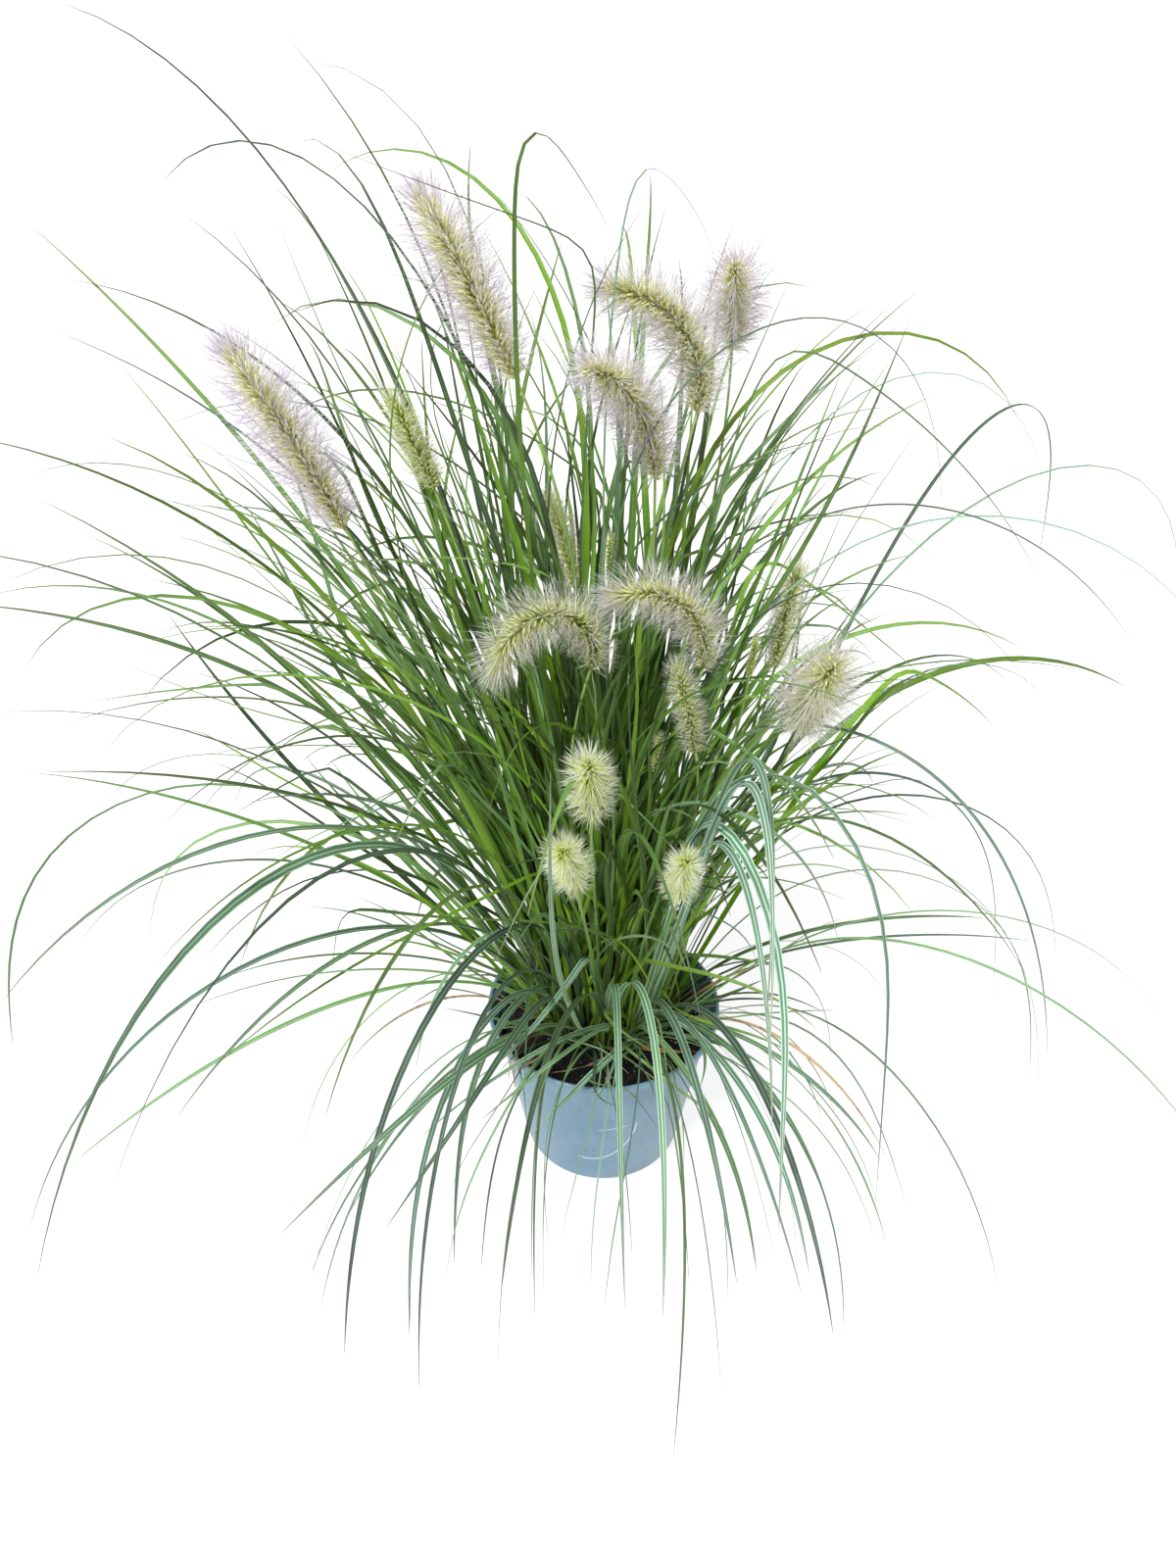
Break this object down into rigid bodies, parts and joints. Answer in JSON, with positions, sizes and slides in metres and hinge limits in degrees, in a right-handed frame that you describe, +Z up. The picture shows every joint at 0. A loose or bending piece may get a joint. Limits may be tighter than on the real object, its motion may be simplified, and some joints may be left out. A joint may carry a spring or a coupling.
{
  "type": "potted fountain grass clump",
  "caption": "Clump of fountain grass with long arching leaves and bristly flower spikes, growing in a plastic nursery pot.",
  "frame": {"origin": "centre of the pot's underside, on the surface it stands on", "axes": "+Z up, -Y to the front of the clump as pictured, +X to its right"},
  "size_m": [0.8334, 0.808, 0.8273],
  "materials": {
    "pot": "satin",
    "soil": "matte",
    "culm": "satin",
    "spike": "matte",
    "leaf": "satin"
  },
  "bodies": {
    "root": {"pot": "pot", "soil": "soil", "culm_a": "culm", "culm_b": "culm", "culm_c": "culm", "culm_d": "culm", "culm_e": "culm", "culm_f": "culm", "culm_g": "culm", "culm_h": "culm", "culm_i": "culm", "culm_j": "culm", "culm_k": "culm", "culm_l": "culm", "culm_m": "culm", "culm_n": "culm", "culm_o": "culm", "culm_p": "culm", "culm_q": "culm", "culm_r": "culm", "spike_a": "spike", "spike_b": "spike", "spike_c": "spike", "spike_d": "spike", "spike_e": "spike", "spike_f": "spike", "spike_g": "spike", "spike_h": "spike", "spike_i": "spike", "spike_j": "spike", "spike_k": "spike", "spike_l": "spike", "spike_m": "spike", "spike_n": "spike", "spike_o": "spike", "spike_p": "spike", "spike_q": "spike", "spike_r": "spike", "shoot_far_left": "leaf", "shoot_left_high": "leaf", "shoot_left_low": "leaf", "shoot_top": "leaf", "shoot_top_right": "leaf", "shoot_right_high": "leaf", "shoot_right_low": "leaf", "shoot_front_right": "leaf", "shoot_front": "leaf", "shoot_front_left": "leaf", "shoot_inner_01": "leaf", "shoot_inner_02": "leaf", "shoot_inner_03": "leaf", "shoot_inner_04": "leaf", "shoot_inner_05": "leaf", "shoot_inner_06": "leaf", "shoot_inner_07": "leaf", "shoot_inner_08": "leaf", "shoot_inner_09": "leaf", "shoot_inner_10": "leaf", "shoot_inner_11": "leaf", "shoot_inner_12": "leaf"}
  },
  "joints": []
}
